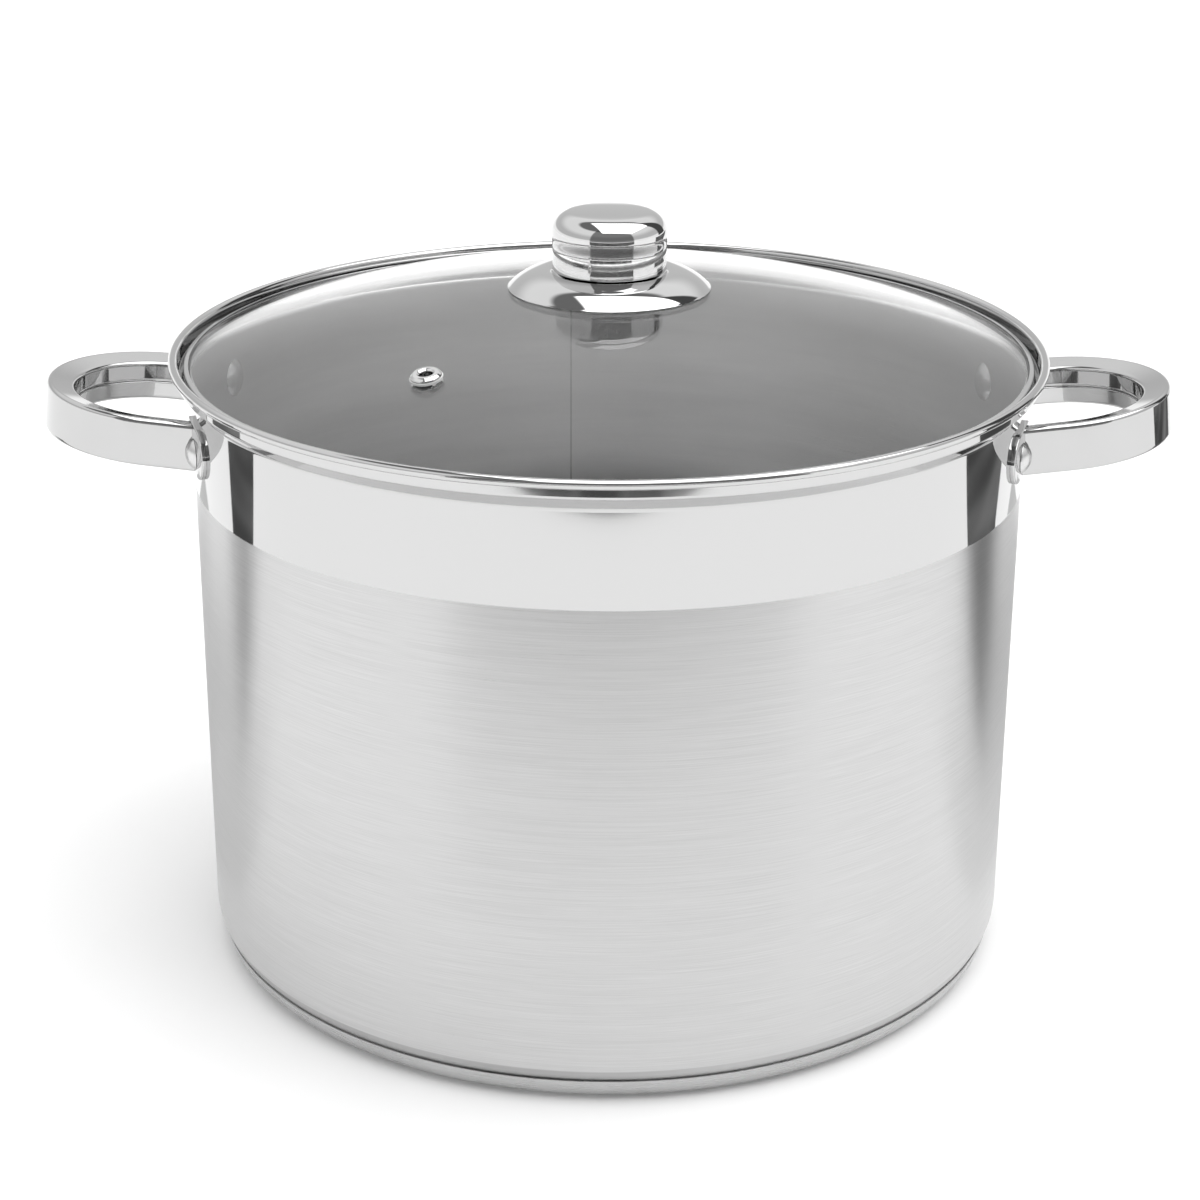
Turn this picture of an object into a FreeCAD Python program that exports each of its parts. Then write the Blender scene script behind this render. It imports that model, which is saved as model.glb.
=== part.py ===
"""Stock pot: a drawn steel pot with a clad base, two riveted bow handles and a domed glass lid.

The frame is +Z up, in millimetres. The origin is the middle of the flat underside of the base.
The handles reach out along -X and +X. The steam vent of the lid is on the front left, at -X -Y.
"""
import FreeCAD
import Part
import math
import os
import Sketcher

DIMENSIONS = {
    # pot
    "pot_radius": 150.0,         # inside of the wall
    "pot_sheet": 0.8,
    "floor_height": 4.8,         # underside of the pot's own floor
    "corner_radius": 12.0,       # outside, between floor and wall
    "flare_height": 216.2,       # where the wall turns outwards
    "lip_radius": 155.05,        # inside of the upright lip above the flare
    "bead_radius": 1.7,          # rolled edge
    "bead_height": 226.3,        # middle of the rolled edge
    # base
    "core_radius": 139.0,
    "core_bevel": 0.5,
    "cap_sheet": 0.8,
    "cap_radius": 148.9,
    "cap_round": 9.6,
    "cap_height": 9.2,
    # handles
    "handle_height": 200.8,      # middle of the handle where it meets the wall
    "handle_tilt": 6.5,          # degrees, rising outwards
    "bow_radius": 37.35,         # middle of the section
    "bow_reach": 12.0,           # from the wall's farthest point to the centre of the bow
    "bow_root": 10.0,            # length of arm inside the wall line, trimmed off
    "section_width": 10.5,
    "section_back": 18.0,        # height of the flat outer face
    "section_front": 12.5,       # height of the inner face
    "section_round": 1.6,
    "section_sheet": 1.0,
    "section_inset": 1.3,        # from the ends of the two flat faces to the hollow
    "seam_gap": 0.6,
    "tab_sheet": 1.6,
    "tab_start": 34.0,
    "tab_shoulder": 51.0,        # where the rounded end starts
    "tab_size": 18.0,
    "tab_round": 9.36,
    "wall_gap": 0.05,            # between the wall and what is riveted to it
    # rivets
    "rivet_angle": 17.5,         # degrees from the X axis
    "rivet_height": 199.5,
    "rivet_shank": 2.5,
    "rivet_head": 5.4,
    "rivet_head_rise": 3.0,
    "rivet_tail": 7.0,
    "rivet_tail_rise": 2.2,
    "rivet_play": 0.15,          # between the shank and the holes
    "relief_gap": 0.4,           # between a head and the arm beside it
    "relief_depth": 7.0,
    # lid glass and its steel band
    "dome_top": 249.9,
    "dome_radius": 463.3,
    "glass_sheet": 3.8,
    "glass_radius": 152.2,
    "glass_hole": 4.0,
    "band_radius": 153.1,
    "band_sheet": 0.55,
    "band_bottom": 219.6,
    "band_round": 0.9,
    "band_lip_radius": 151.3,    # inner edge of the upper lip
    "band_foot_radius": 149.4,   # inner edge of the lower lip
    "band_shoulder": 0.5,        # from the glass's edge up to the start of the upper lip
    # steam vent
    "vent_radius": 103.0,        # from the lid's axis
    "vent_angle": 36.0,          # degrees from the front, towards -X
    "vent_hole": 2.35,
    "vent_tube": 3.5,
    "vent_flange": 5.4,
    "vent_flange_edge": 0.5,
    "vent_mouth": 0.9,           # from the hole to the start of the rounded flange
    "vent_mouth_drop": 0.5,
    "vent_rise": 2.4,
    "vent_curl": 0.6,            # the tube is turned out under the washer
    "vent_curl_rise": 1.3,
    "vent_seal_sheet": 0.8,
    "vent_seal_radius": 5.7,
    # knob
    "knob_sheet": 0.8,
    "skirt_radius": 36.6,
    "skirt_bottom": 248.8,
    "skirt_top": 251.1,
    "skirt_crest": 255.0,        # top of the ring around the well that holds the bowl
    "crest_radius": 22.0,        # outside this the skirt curves down to the glass
    "crest_inner": 20.62,        # where the crest turns down into the well
    "crest_round": 1.8,
    "skirt_foot": 35.4,          # inner edge of the rim that faces the glass
    "gasket_radius": 13.5,
    "bowl_bottom_radius": 12.0,
    "bowl_radius": 19.9,
    "bowl_rim": 258.0,
    "cap_knob_radius": 20.9,
    "cap_knob_waist": 20.4,
    "cap_knob_bottom": 255.3,
    "cap_knob_shoulder": 268.8,
    "cap_knob_round": 7.5,
    "cap_knob_top": 276.9,
    "waist_start": 5.0,          # above the lower edge
    "waist_end": 6.0,            # below the shoulder
    "insert_flange": 10.0,
    "insert_flange_sheet": 1.5,
    "insert_radius": 5.5,
    "insert_top": 266.0,
    "insert_spare": 1.0,         # thread left above the end of the screw
    "screw_radius": 2.45,
    "thread_radius": 2.5,
    "screw_top": 263.0,
    "screw_bevel": 0.5,
    "screw_head": 4.8,
    "screw_head_rise": 3.2,
    "screw_head_edge": 0.8,
    "screw_head_flat": 3.2,
    "drive_radius": 1.1,
    "drive_depth": 1.2,
    "washer_play": 0.2,
    "under_gasket_radius": 9.0,
    "under_gasket_sheet": 1.2,
    "washer_radius": 8.5,
    "washer_sheet": 1.0,
    "spring_washer_radius": 4.6,
    "spring_washer_sheet": 1.1,
}

document = FreeCAD.newDocument("stock_pot")
sheet = document.addObject("Spreadsheet::Sheet", "dims")
for row, (alias, number) in enumerate(DIMENSIONS.items(), start=1):
    sheet.set(f"A{row}", alias)
    sheet.set(f"B{row}", str(number))
    sheet.setAlias(f"B{row}", alias)
document.recompute()


def bound(text):
    """Put the sheet's name before every alias in an expression."""
    words = []
    word = ""
    for letter in text + " ":
        if letter.isalnum() or letter == "_":
            word += letter
            continue
        words.append(f"dims.{word}" if word in DIMENSIONS else word)
        words.append(letter)
        word = ""
    return "".join(words).strip()


def size(text):
    """The number that an expression on the sheet's aliases gives now."""
    value = sheet.evalExpression(bound(text))
    return float(getattr(value, "Value", value))


def plane_of(body, role):
    for feature in body.Origin.OriginFeatures:
        if feature.Role == role:
            return feature
    raise ValueError(role)


def pin(sketch, geometry, end, x_text, y_text):
    """Hold one point of a sketch at a place given by two expressions."""
    for kind, text, axis in (("DistanceX", x_text, -2), ("DistanceY", y_text, -1)):
        number = size(text)
        if abs(number) < 1e-9:
            sketch.addConstraint(Sketcher.Constraint("PointOnObject", geometry, end, axis))
            continue
        index = sketch.addConstraint(Sketcher.Constraint(kind, -1, 1, geometry, end, number))
        sketch.setExpression(f"Constraints[{index}]", bound(text))


def arc_between(start, end, radius, turn):
    """The arc from start to end of a given radius; turn is +1 for anticlockwise."""
    chord = end - start
    half = chord.Length / 2
    rise = math.sqrt(max(radius * radius - half * half, 0.0))
    side = FreeCAD.Vector(-chord.y, chord.x, 0).normalize()
    centre = (start + end) * 0.5 + side * rise * turn
    angles = [math.atan2(p.y - centre.y, p.x - centre.x) for p in (start, end)]
    if turn < 0:
        angles.reverse()
    circle = Part.Circle(centre, FreeCAD.Vector(0, 0, 1), radius)
    return Part.ArcOfCircle(circle, angles[0], angles[1])


def draw(sketch, outline):
    """Draw a closed outline.

    Each point is (x, y) or (x, y, radius, turn), where the last two say that the edge that
    follows the point is an arc: turn is +1 anticlockwise and -1 clockwise.
    """
    places = [FreeCAD.Vector(size(p[0]), size(p[1]), 0) for p in outline]
    ends = []
    for number, point in enumerate(outline):
        start = places[number]
        end = places[(number + 1) % len(outline)]
        if len(point) == 2:
            index = sketch.addGeometry(Part.LineSegment(start, end), False)
            ends.append((index, 1, 2))
            continue
        radius, turn = size(point[2]), point[3]
        index = sketch.addGeometry(arc_between(start, end, radius, turn), False)
        ends.append((index, 1, 2) if turn > 0 else (index, 2, 1))
    for number, point in enumerate(outline):
        index, start_end, finish_end = ends[number]
        following = ends[(number + 1) % len(outline)]
        sketch.addConstraint(
            Sketcher.Constraint("Coincident", index, finish_end, following[0], following[1]))
        pin(sketch, index, start_end, point[0], point[1])
        if len(point) > 2:
            held = sketch.addConstraint(Sketcher.Constraint("Radius", index, size(point[2])))
            sketch.setExpression(f"Constraints[{held}]", bound(point[2]))


def new_body(name):
    body = document.addObject("PartDesign::Body", name)
    body.Label = name
    return body


def body_sketch(body, name, role):
    sketch = body.newObject("Sketcher::SketchObject", name)
    sketch.AttachmentSupport = [(plane_of(body, role), "")]
    sketch.MapMode = "FlatFace"
    return sketch


def turned(name, outline):
    """A body made by turning an outline about its own Z axis."""
    body = new_body(name)
    sketch = body_sketch(body, f"{name}_outline", "XZ_Plane")
    draw(sketch, outline)
    turn = body.newObject("PartDesign::Revolution", f"{name}_turn")
    turn.Profile = sketch
    turn.ReferenceAxis = (sketch, ["V_Axis"])
    turn.Angle = 360
    sketch.Visibility = False
    return body


# ---------------------------------------------------------------- pot and base

HALF_TURN = "tan(22.5)"          # sets where a 45 degree bend starts
bead_middle = "lip_radius + bead_radius"
flare_top = "flare_height + lip_radius - pot_radius"
inner_flare = f"flare_height + pot_sheet * {HALF_TURN}"
inner_flare_top = f"{inner_flare} + lip_radius - pot_radius"
corner_centre = "pot_radius + pot_sheet - corner_radius"

pot_body = turned("pot_body", [
    ("0", "floor_height"),
    (corner_centre, "floor_height", "corner_radius", 1),
    ("pot_radius + pot_sheet", "floor_height + corner_radius"),
    ("pot_radius + pot_sheet", "flare_height"),
    ("lip_radius + pot_sheet", flare_top),
    ("lip_radius + pot_sheet", "bead_height", "bead_radius - pot_sheet", -1),
    (f"{bead_middle} + bead_radius - pot_sheet", "bead_height", "bead_radius - pot_sheet", -1),
    (bead_middle, "bead_height - bead_radius + pot_sheet"),
    (bead_middle, "bead_height - bead_radius", "bead_radius", 1),
    (f"{bead_middle} + bead_radius", "bead_height", "bead_radius", 1),
    ("lip_radius", "bead_height"),
    ("lip_radius", inner_flare_top),
    ("pot_radius", inner_flare),
    ("pot_radius", "floor_height + corner_radius", "corner_radius - pot_sheet", -1),
    (corner_centre, "floor_height + pot_sheet"),
    ("0", "floor_height + pot_sheet"),
])
document.recompute()
for number, sign in enumerate((1, -1), start=1):
    holes = body_sketch(pot_body, f"rivet_holes_{number}", "YZ_Plane")
    holes.AttachmentOffset = FreeCAD.Placement(
        FreeCAD.Vector(0, 0, 0), FreeCAD.Rotation(FreeCAD.Vector(0, 1, 0), sign * size("rivet_angle")))
    holes.addGeometry(Part.Circle(FreeCAD.Vector(0, size("rivet_height"), 0),
                                  FreeCAD.Vector(0, 0, 1), size("rivet_shank")), False)
    pin(holes, 0, 3, "0", "rivet_height")
    round_size = holes.addConstraint(Sketcher.Constraint("Radius", 0, size("rivet_shank")))
    holes.setExpression(f"Constraints[{round_size}]", bound("rivet_shank + rivet_play"))
    drill = pot_body.newObject("PartDesign::Pocket", f"rivet_drill_{number}")
    drill.Profile = holes
    drill.Type = 1
    drill.Midplane = True
    holes.Visibility = False
    document.recompute()

base_core = turned("base_core", [
    ("0", "cap_sheet"),
    ("core_radius - core_bevel", "cap_sheet"),
    ("core_radius", "cap_sheet + core_bevel"),
    ("core_radius", "floor_height - core_bevel"),
    ("core_radius - core_bevel", "floor_height"),
    ("0", "floor_height"),
])

cap_centre = "cap_radius - cap_round"
cap_drop = "cap_round - cap_height"
base_cap = turned("base_cap", [
    ("0", "0"),
    (cap_centre, "0", "cap_round", 1),
    (f"{cap_centre} + sqrt(cap_round^2 - ({cap_drop})^2)", "cap_height"),
    (f"{cap_centre} + sqrt((cap_round - cap_sheet)^2 - ({cap_drop})^2)", "cap_height",
     "cap_round - cap_sheet", -1),
    (cap_centre, "cap_sheet"),
    ("0", "cap_sheet"),
])

# ---------------------------------------------------------------- handles
# A strip is folded into a closed section with its seam on the inside of the bow. The bow lies
# in a plane that rises outwards from the wall. Each arm ends in a tab curved to the wall.


def free_sketch(name, placement):
    sketch = document.addObject("Sketcher::SketchObject", name)
    sketch.Placement = placement
    return sketch


def primitive(kind, name, placement, **sizes):
    piece = document.addObject(kind, name)
    for quantity, text in sizes.items():
        piece.setExpression(quantity, bound(text))
    piece.Placement = placement
    return piece


def combined(kind, name, first, second):
    piece = document.addObject(kind, name)
    piece.Base = first
    piece.Tool = second
    return piece


outer_wall = "pot_radius + pot_sheet"
level = FreeCAD.Rotation(FreeCAD.Vector(0, 1, 0), -size("handle_tilt"))
bow_frame = FreeCAD.Placement(FreeCAD.Vector(size(outer_wall), 0, size("handle_height")), level)

bow_path = free_sketch("bow_path", bow_frame)
bow_ends = [("-bow_root", "-bow_radius"), ("bow_reach", "-bow_radius"),
            ("bow_reach", "bow_radius"), ("-bow_root", "bow_radius")]
corners = [FreeCAD.Vector(size(x), size(y), 0) for x, y in bow_ends]
bow_path.addGeometry(Part.LineSegment(corners[0], corners[1]), False)
bow_path.addGeometry(arc_between(corners[1], corners[2], size("bow_radius"), 1), False)
bow_path.addGeometry(Part.LineSegment(corners[2], corners[3]), False)
bow_path.addConstraint(Sketcher.Constraint("Coincident", 0, 2, 1, 1))
bow_path.addConstraint(Sketcher.Constraint("Coincident", 1, 2, 2, 1))
for geometry, end, place in ((0, 1, 0), (0, 2, 1), (1, 2, 2), (2, 2, 3)):
    pin(bow_path, geometry, end, *bow_ends[place])

section_frame = bow_frame.multiply(FreeCAD.Placement(
    FreeCAD.Vector(-size("bow_root"), -size("bow_radius"), 0),
    FreeCAD.Rotation(FreeCAD.Vector(0, 1, 0), FreeCAD.Vector(0, 0, 1), FreeCAD.Vector(1, 0, 0),
                     "ZXY")))


def swept(name, outline):
    """A section carried along the bow, starting inside the wall line."""
    section = free_sketch(f"{name}_section", section_frame)
    draw(section, outline)
    document.recompute()
    piece = document.addObject("Part::Sweep", name)
    piece.Sections = [section]
    piece.Spine = (bow_path, [])
    piece.Solid = True
    piece.Frenet = False
    return piece


side = "section_width / 2"
back, front = "section_back / 2", "section_front / 2"
easing = "section_round / 4"     # the upper and lower faces slope down to the inner face
front_round = "section_round * 1.1"
bow_outside = swept("bow_outside", [
    (f"-{side}", f"-({back} - section_round)", "section_round", 1),
    (f"-{side} + section_round", f"-{back}"),
    (f"{side} - section_round", f"-({front} + {easing})", front_round, 1),
    (side, f"-({front} - section_round)"),
    (side, f"{front} - section_round", front_round, 1),
    (f"{side} - section_round", f"{front} + {easing}"),
    (f"-{side} + section_round", back, "section_round", 1),
    (f"-{side}", f"{back} - section_round"),
])
bow_inside = swept("bow_inside", [
    (f"-{side} + section_sheet", f"-({back} - section_inset)"),
    (f"{side} - section_sheet", f"-({front} - section_inset)"),
    (f"{side} - section_sheet", f"{front} - section_inset"),
    (f"-{side} + section_sheet", f"{back} - section_inset"),
])
bow_seam = swept("bow_seam", [
    (f"{side} - 2 * section_sheet", "-seam_gap / 2"),
    (f"{side} + section_sheet", "-seam_gap / 2"),
    (f"{side} + section_sheet", "seam_gap / 2"),
    (f"{side} - 2 * section_sheet", "seam_gap / 2"),
])
bow_hollow = combined("Part::Cut", "bow_hollow", bow_outside, bow_inside)
bow_folded = combined("Part::Cut", "bow_folded", bow_hollow, bow_seam)

upright = FreeCAD.Placement()
wall_line = primitive("Part::Cylinder", "wall_line", upright,
                      Radius=f"{outer_wall} + wall_gap", Height="bead_height")
bow_trimmed = combined("Part::Cut", "bow_trimmed", bow_folded, wall_line)

tab_face = FreeCAD.Placement(
    FreeCAD.Vector(size("pot_radius") / 2, 0, size("handle_height")),
    FreeCAD.Rotation(FreeCAD.Vector(0, 1, 0), FreeCAD.Vector(0, 0, 1), FreeCAD.Vector(1, 0, 0),
                     "ZXY"))
tab_outline = free_sketch("tab_outline", tab_face)
tab_half = "tab_size / 2"
draw(tab_outline, [
    ("tab_start", f"-{tab_half}"), ("tab_shoulder", f"-{tab_half}", "tab_round", 1),
    ("tab_shoulder", tab_half), ("tab_start", tab_half)])
draw(tab_outline, [
    ("-tab_shoulder", f"-{tab_half}"), ("-tab_start", f"-{tab_half}"),
    ("-tab_start", tab_half), ("-tab_shoulder", tab_half, "tab_round", 1)])
tab_block = document.addObject("Part::Extrusion", "tab_block")
tab_block.Base = tab_outline
tab_block.DirMode = "Normal"
tab_block.Solid = True
tab_block.setExpression("LengthFwd", bound("pot_radius"))
tab_skin = primitive("Part::Cylinder", "tab_skin", upright,
                     Radius=f"{outer_wall} + wall_gap + tab_sheet", Height="bead_height")
tab_ring = combined("Part::Cut", "tab_ring", tab_skin, wall_line)
tabs = combined("Part::Common", "tabs", tab_block, tab_ring)
bow_with_tabs = combined("Part::Fuse", "bow_with_tabs", bow_trimmed, tabs)


def radial(angle, distance_text="0"):
    """The frame of a rivet: its local Z points away from the pot's axis."""
    turn = FreeCAD.Rotation(FreeCAD.Vector(0, 0, 1), angle)
    lean = FreeCAD.Rotation(FreeCAD.Vector(0, 1, 0), 90)
    out = turn.multVec(FreeCAD.Vector(size(distance_text), 0, 0))
    return FreeCAD.Placement(
        out + FreeCAD.Vector(0, 0, size("rivet_height")), turn.multiply(lean))


# Each arm is relieved where the head of a rivet sits beside it.
tab_outside = f"{outer_wall} + wall_gap + tab_sheet"
handle_right = bow_with_tabs
for word, sign in (("rear", 1), ("front", -1)):
    angle = sign * size("rivet_angle")
    drill = primitive("Part::Cylinder", f"tab_drill_{word}", radial(angle),
                      Radius="rivet_shank + rivet_play", Height="pot_radius + section_back")
    relief = primitive("Part::Cylinder", f"arm_relief_{word}", radial(angle, tab_outside),
                       Radius="rivet_head + relief_gap", Height="relief_depth")
    handle_right = combined("Part::Cut", f"handle_relieved_{word}", handle_right, relief)
    handle_right = combined("Part::Cut", f"handle_drilled_{word}", handle_right, drill)
handle_right.Label = "handle_right"
handle_left = document.addObject("Part::Mirroring", "handle_left")
handle_left.Label = "handle_left"
handle_left.Source = handle_right
handle_left.Normal = FreeCAD.Vector(1, 0, 0)

# ---------------------------------------------------------------- rivets
# Local Z of each rivet points outwards, and its zero lies on the pot's axis.

tail_seat = "sqrt(pot_radius^2 - rivet_tail^2) - wall_gap"
head_round = "(rivet_head^2 + rivet_head_rise^2) / (2 * rivet_head_rise)"
tail_round = "(rivet_tail^2 + rivet_tail_rise^2) / (2 * rivet_tail_rise)"
rivets = {}
off_axis = size("rivet_angle")
for name, angle in (("rivet_right_rear", off_axis), ("rivet_right_front", -off_axis),
                    ("rivet_left_rear", 180 - off_axis), ("rivet_left_front", 180 + off_axis)):
    rivet = turned(name, [
        ("0", f"{tail_seat} - rivet_tail_rise", tail_round, 1),
        ("rivet_tail", tail_seat),
        ("rivet_shank", tail_seat),
        ("rivet_shank", f"{tab_outside} + wall_gap"),
        ("rivet_head", f"{tab_outside} + wall_gap", head_round, 1),
        ("0", f"{tab_outside} + wall_gap + rivet_head_rise"),
    ])
    rivet.Placement = radial(angle)
    rivets[name] = rivet

# ---------------------------------------------------------------- lid glass and band

dome_centre = "(dome_top - dome_radius)"
under_radius = "(dome_radius - glass_sheet)"


def dome_at(radius_text, sphere="dome_radius"):
    """Height of one of the glass's two faces at a distance from the lid's axis."""
    return f"{dome_centre} + sqrt({sphere}^2 - ({radius_text})^2)"


def under_dome(radius_text):
    return dome_at(radius_text, under_radius)


lid_glass = turned("lid_glass", [
    ("glass_hole", under_dome("glass_hole")),
    ("glass_hole", dome_at("glass_hole"), "dome_radius", -1),
    ("glass_radius", dome_at("glass_radius")),
    ("glass_radius", under_dome("glass_radius"), under_radius, 1),
])
document.recompute()

vent_turn = FreeCAD.Rotation(FreeCAD.Vector(0, 0, 1), -size("vent_angle"))
vent_lean = math.degrees(math.asin(size("vent_radius") / size("dome_radius")))
vent_out = vent_turn.multVec(FreeCAD.Vector(0, -1, 0))
vent_rotation = FreeCAD.Rotation(vent_out.cross(FreeCAD.Vector(0, 0, 1)), -vent_lean)
vent_place = FreeCAD.Placement(
    vent_out * size("vent_radius") + FreeCAD.Vector(0, 0, size(dome_at("vent_radius"))),
    vent_rotation)
vent_circle = body_sketch(lid_glass, "vent_circle", "XY_Plane")
vent_circle.AttachmentOffset = vent_place
vent_circle.addGeometry(Part.Circle(FreeCAD.Vector(0, 0, 0), FreeCAD.Vector(0, 0, 1),
                                    size("vent_tube")), False)
vent_circle.addConstraint(Sketcher.Constraint("Coincident", 0, 3, -1, 1))
vent_size = vent_circle.addConstraint(Sketcher.Constraint("Radius", 0, size("vent_tube")))
vent_circle.setExpression(f"Constraints[{vent_size}]", bound("vent_tube + wall_gap"))
vent_drill = lid_glass.newObject("PartDesign::Pocket", "vent_drill")
vent_drill.Profile = vent_circle
vent_drill.Type = 1
vent_drill.Midplane = True

lid_band = turned("lid_band", [
    ("band_lip_radius", dome_at("band_lip_radius")),
    ("glass_radius", dome_at("glass_radius")),
    ("glass_radius", under_dome("glass_radius")),
    ("band_foot_radius", under_dome("band_foot_radius")),
    ("band_foot_radius", f"{under_dome('band_foot_radius')} - band_sheet"),
    ("band_radius - band_round", "band_bottom", "band_round", 1),
    ("band_radius", "band_bottom + band_round"),
    ("band_radius", f"{dome_at('glass_radius')} - band_sheet / 2", "band_round", 1),
    ("band_radius - band_round", f"{dome_at('glass_radius')} + band_shoulder"),
    ("band_lip_radius", f"{dome_at('band_lip_radius')} + band_sheet"),
])

# ---------------------------------------------------------------- steam vent
# Local Z is square to the glass, and its zero lies on the upper face of the glass.

vent_under = "-glass_sheet - vent_seal_sheet"
vent_eyelet = turned("vent_eyelet", [
    ("vent_hole", f"{vent_under} - vent_curl_rise"),
    ("vent_tube + vent_curl", f"{vent_under} - vent_curl_rise"),
    ("vent_tube + vent_curl", f"{vent_under} - vent_curl"),
    ("vent_tube", vent_under),
    ("vent_tube", "vent_seal_sheet"),
    ("vent_flange", "vent_seal_sheet"),
    ("vent_flange", "vent_seal_sheet + vent_flange_edge", "vent_rise", 1),
    ("vent_hole + vent_mouth", "vent_rise"),
    ("vent_hole", "vent_rise - vent_mouth_drop"),
])
vent_seal = turned("vent_seal", [
    ("vent_tube", "wall_gap"), ("vent_seal_radius", "wall_gap"),
    ("vent_seal_radius", "vent_seal_sheet"), ("vent_tube", "vent_seal_sheet")])
vent_washer = turned("vent_washer", [
    ("vent_tube", vent_under), ("vent_flange", vent_under),
    ("vent_flange", "-glass_sheet - 2 * wall_gap"), ("vent_tube", "-glass_sheet - 2 * wall_gap")])
for piece in (vent_eyelet, vent_seal, vent_washer):
    piece.Placement = vent_place

# ---------------------------------------------------------------- knob

skirt_under = "skirt_top - knob_sheet"
skirt_spread = "(skirt_radius - crest_radius)"
skirt_drop = "(skirt_crest - skirt_bottom)"
skirt_round = f"({skirt_spread}^2 + {skirt_drop}^2) / (2 * {skirt_drop})"
crest_run = "(crest_radius - crest_inner)"
crest_fall = f"(crest_round - sqrt(crest_round^2 - {crest_run}^2))"
well_rim = f"(skirt_crest - {crest_fall})"
well_round = f"({well_rim} - skirt_top) * crest_round / {crest_fall}"
well_start = f"crest_inner - {well_round} * {crest_run} / crest_round"
knob_skirt = turned("knob_skirt", [
    ("glass_hole", skirt_under),
    (well_start, skirt_under, f"{well_round} + knob_sheet", 1),
    (f"crest_inner + knob_sheet * {crest_run} / crest_round",
     f"{well_rim} - knob_sheet * (1 - {crest_fall} / crest_round)",
     "crest_round - knob_sheet", -1),
    ("crest_radius", "skirt_crest - knob_sheet", f"{skirt_round} - knob_sheet", -1),
    ("skirt_foot", "skirt_bottom"),
    ("skirt_radius", "skirt_bottom", skirt_round, 1),
    ("crest_radius", "skirt_crest", "crest_round", 1),
    ("crest_inner", well_rim, well_round, -1),
    (well_start, "skirt_top"),
    ("glass_hole", "skirt_top"),
])
knob_gasket = turned("knob_gasket", [
    ("screw_radius + wall_gap", dome_at("screw_radius + wall_gap"), "dome_radius", -1),
    ("gasket_radius", dome_at("gasket_radius")),
    ("gasket_radius", skirt_under),
    ("screw_radius + wall_gap", skirt_under),
])
bowl_spread = "(bowl_radius - bowl_bottom_radius)"
bowl_rise = "(cap_knob_bottom - skirt_top)"
bowl_round = f"({bowl_spread}^2 + {bowl_rise}^2) / (2 * {bowl_rise})"
knob_bowl = turned("knob_bowl", [
    ("thread_radius", "skirt_top"),
    ("bowl_bottom_radius", "skirt_top", bowl_round, 1),
    ("bowl_radius", "cap_knob_bottom"),
    ("bowl_radius", "bowl_rim"),
    ("bowl_radius - knob_sheet", "bowl_rim"),
    ("bowl_radius - knob_sheet", "cap_knob_bottom", f"{bowl_round} - knob_sheet", -1),
    ("bowl_bottom_radius", "skirt_top + knob_sheet"),
    ("thread_radius", "skirt_top + knob_sheet"),
])
crown = "(cap_knob_shoulder + cap_knob_round)"
crown_edge = "(cap_knob_radius - cap_knob_round)"
crown_rise = f"(cap_knob_top - {crown})"
crown_round = f"({crown_edge}^2 + {crown_rise}^2) / (2 * {crown_rise})"
knob_cap = turned("knob_cap", [
    ("cap_knob_radius - knob_sheet", "cap_knob_bottom"),
    ("cap_knob_radius", "cap_knob_bottom"),
    ("cap_knob_radius", "cap_knob_bottom + knob_sheet"),
    ("cap_knob_waist", "cap_knob_bottom + waist_start"),
    ("cap_knob_waist", "cap_knob_shoulder - waist_end"),
    ("cap_knob_radius", "cap_knob_shoulder", "cap_knob_round", 1),
    (crown_edge, crown, crown_round, 1),
    ("0", "cap_knob_top"),
    ("0", "cap_knob_top - knob_sheet"),
    (crown_edge, f"{crown} - knob_sheet", "cap_knob_round - knob_sheet", -1),
    ("cap_knob_radius - knob_sheet", "cap_knob_shoulder"),
    ("cap_knob_waist - knob_sheet / 2", "cap_knob_shoulder - waist_end"),
    ("cap_knob_waist - knob_sheet / 2", "cap_knob_bottom + waist_start"),
])
insert_floor = "skirt_top + knob_sheet"
knob_insert = turned("knob_insert", [
    ("thread_radius", insert_floor),
    ("insert_flange", insert_floor),
    ("insert_flange", f"{insert_floor} + insert_flange_sheet"),
    ("insert_radius", f"{insert_floor} + insert_flange_sheet"),
    ("insert_radius", "insert_top"),
    ("0", "insert_top"),
    ("0", "screw_top + insert_spare"),
    ("thread_radius", "screw_top + insert_spare"),
])

under_glass = under_dome("under_gasket_radius")
washer_top = f"{under_glass} - under_gasket_sheet"
spring_top = f"{washer_top} - washer_sheet"
screw_seat = f"{spring_top} - spring_washer_sheet"
bore = "thread_radius + washer_play"
under_gasket = turned("under_gasket", [
    (bore, washer_top), ("under_gasket_radius", washer_top),
    ("under_gasket_radius", under_glass), (bore, under_glass)])
knob_washer = turned("knob_washer", [
    (bore, spring_top), ("washer_radius", spring_top),
    ("washer_radius", washer_top), (bore, washer_top)])
spring_washer = turned("spring_washer", [
    (bore, screw_seat), ("spring_washer_radius", screw_seat),
    ("spring_washer_radius", spring_top), (bore, spring_top)])
knob_screw = turned("knob_screw", [
    ("0", f"{screw_seat} - screw_head_rise + drive_depth"),
    ("drive_radius", f"{screw_seat} - screw_head_rise + drive_depth"),
    ("drive_radius", f"{screw_seat} - screw_head_rise"),
    ("screw_head_flat", f"{screw_seat} - screw_head_rise", "screw_head_rise - screw_head_edge", 1),
    ("screw_head", f"{screw_seat} - screw_head_edge"),
    ("screw_head", screw_seat),
    ("screw_radius", screw_seat),
    ("screw_radius", "screw_top - screw_bevel"),
    ("screw_radius - screw_bevel", "screw_top"),
    ("0", "screw_top"),
])

# ---------------------------------------------------------------- check and write

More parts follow.
